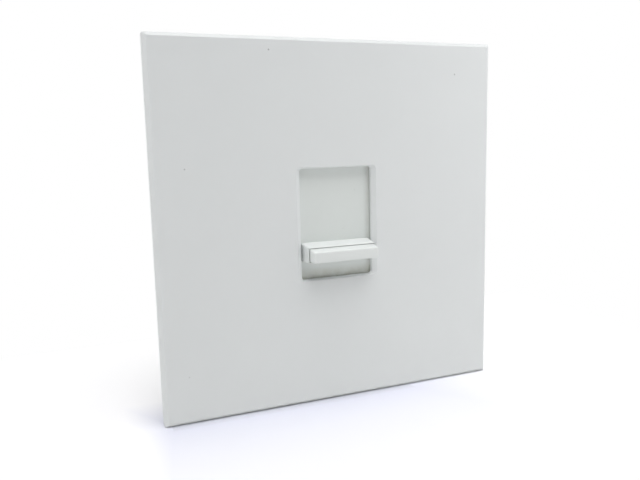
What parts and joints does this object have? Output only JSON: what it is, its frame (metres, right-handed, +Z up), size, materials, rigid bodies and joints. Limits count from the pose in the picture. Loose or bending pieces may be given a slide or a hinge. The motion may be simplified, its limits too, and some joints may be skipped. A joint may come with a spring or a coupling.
{
  "type": "dimmer slide switch",
  "caption": "Wall dimmer with a square faceplate, a vertical slider in a window and a push bar on the slider, on a finned yoke.",
  "frame": {"origin": "the middle of the wall plane behind the faceplate", "axes": "+Y goes into the wall, -Y towards the room, +Z up, +X to the right seen from the room"},
  "size_m": [0.1158, 0.0489, 0.1158],
  "materials": {
    "white_plastic": "fine moulded texture, satin",
    "shutter_plastic": "fine moulded texture, satin",
    "bar_plastic": "smooth satin",
    "aluminium": "extruded, plain",
    "steel": "zinc plated",
    "spring_steel": "plain",
    "green_screw": "green plated",
    "fibre": "vulcanised fibre",
    "black_plastic": "moulded",
    "grey_nylon": "moulded",
    "brass": "plain",
    "copper": "enamelled or plain copper",
    "phenolic": "laminate",
    "carbon": "printed carbon",
    "silver": "printed silver",
    "circuit_laminate": "solder mask",
    "ferrite": "sintered",
    "yellow_film": "dipped film",
    "red_film": "dipped film",
    "black_epoxy": "moulded epoxy",
    "mica": "sheet",
    "diac_glass": "glass-like coating",
    "tan_coating": "conformal coating"
  },
  "bodies": {
    "base": {"faceplate": "white_plastic", "heat_sink_yoke": "aluminium", "triac_screw": "steel", "upper_mounting_screw": "steel", "lower_mounting_screw": "steel", "left_guide_rod": "steel", "right_guide_rod": "steel", "left_board_screw": "steel", "right_board_screw": "steel", "upper_left_housing_screw": "steel", "upper_right_housing_screw": "steel", "lower_left_housing_screw": "steel", "lower_right_housing_screw": "steel", "upper_bail_spring": "spring_steel", "lower_bail_spring": "spring_steel", "upper_left_faceplate_clip": "spring_steel", "upper_right_faceplate_clip": "spring_steel", "lower_left_faceplate_clip": "spring_steel", "lower_right_faceplate_clip": "spring_steel", "ground_screw": "green_screw", "upper_screw_retainer": "fibre", "lower_screw_retainer": "fibre", "housing": "black_plastic", "rear_cover": "black_plastic", "switch_case": "black_plastic", "track_frame": "grey_nylon", "left_shutter_guide": "grey_nylon", "right_shutter_guide": "grey_nylon", "resistor_pins": "brass", "line_terminal": "brass", "load_terminal": "brass", "line_terminal_screw": "brass", "load_terminal_screw": "brass", "left_fixed_contact": "brass", "right_fixed_contact": "brass", "choke_winding": "copper", "resistor_board": "phenolic", "resistive_track": "carbon", "collector_track": "silver", "circuit_board": "circuit_laminate", "choke_core": "ferrite", "interference_capacitor": "yellow_film", "timing_capacitor": "red_film", "triac": "black_epoxy", "triac_insulator": "mica", "diac": "diac_glass", "charging_resistor": "tan_coating", "snubber_resistor": "tan_coating"},
    "slider": {"shutter": "shutter_plastic", "slider_knob": "white_plastic", "carriage": "grey_nylon", "wiper": "brass"},
    "bar": {"push_bar": "bar_plastic", "push_rod": "steel", "rod_clip": "spring_steel"},
    "bail": {"bail": "steel"},
    "plunger": {"switch_plunger": "grey_nylon", "contact_bridge": "copper"}
  },
  "joints": [
    {"name": "slider_travel", "type": "slide", "parent": "base", "child": "slider", "axis": [0, 0, 1], "range_m": [-0.00545, 0.02325]},
    {"name": "bail_press", "type": "slide", "parent": "base", "child": "bail", "axis": [0, 1, 0], "range_m": [0, 0.0012], "stiffness_N_per_m": 400, "springref_m": -0.003, "deforming": ["upper_bail_spring", "lower_bail_spring"]},
    {"name": "bar_press", "type": "slide", "parent": "slider", "child": "bar", "axis": [0, 1, 0], "range_m": [0, 0.0012]},
    {"name": "plunger_press", "type": "slide", "parent": "base", "child": "plunger", "axis": [0, 1, 0], "range_m": [0, 0.0012]}
  ],
  "couplings": [
    {"joint": "bar_press", "follows": "bail_press", "ratio": 1},
    {"joint": "plunger_press", "follows": "bail_press", "ratio": 1}
  ]
}
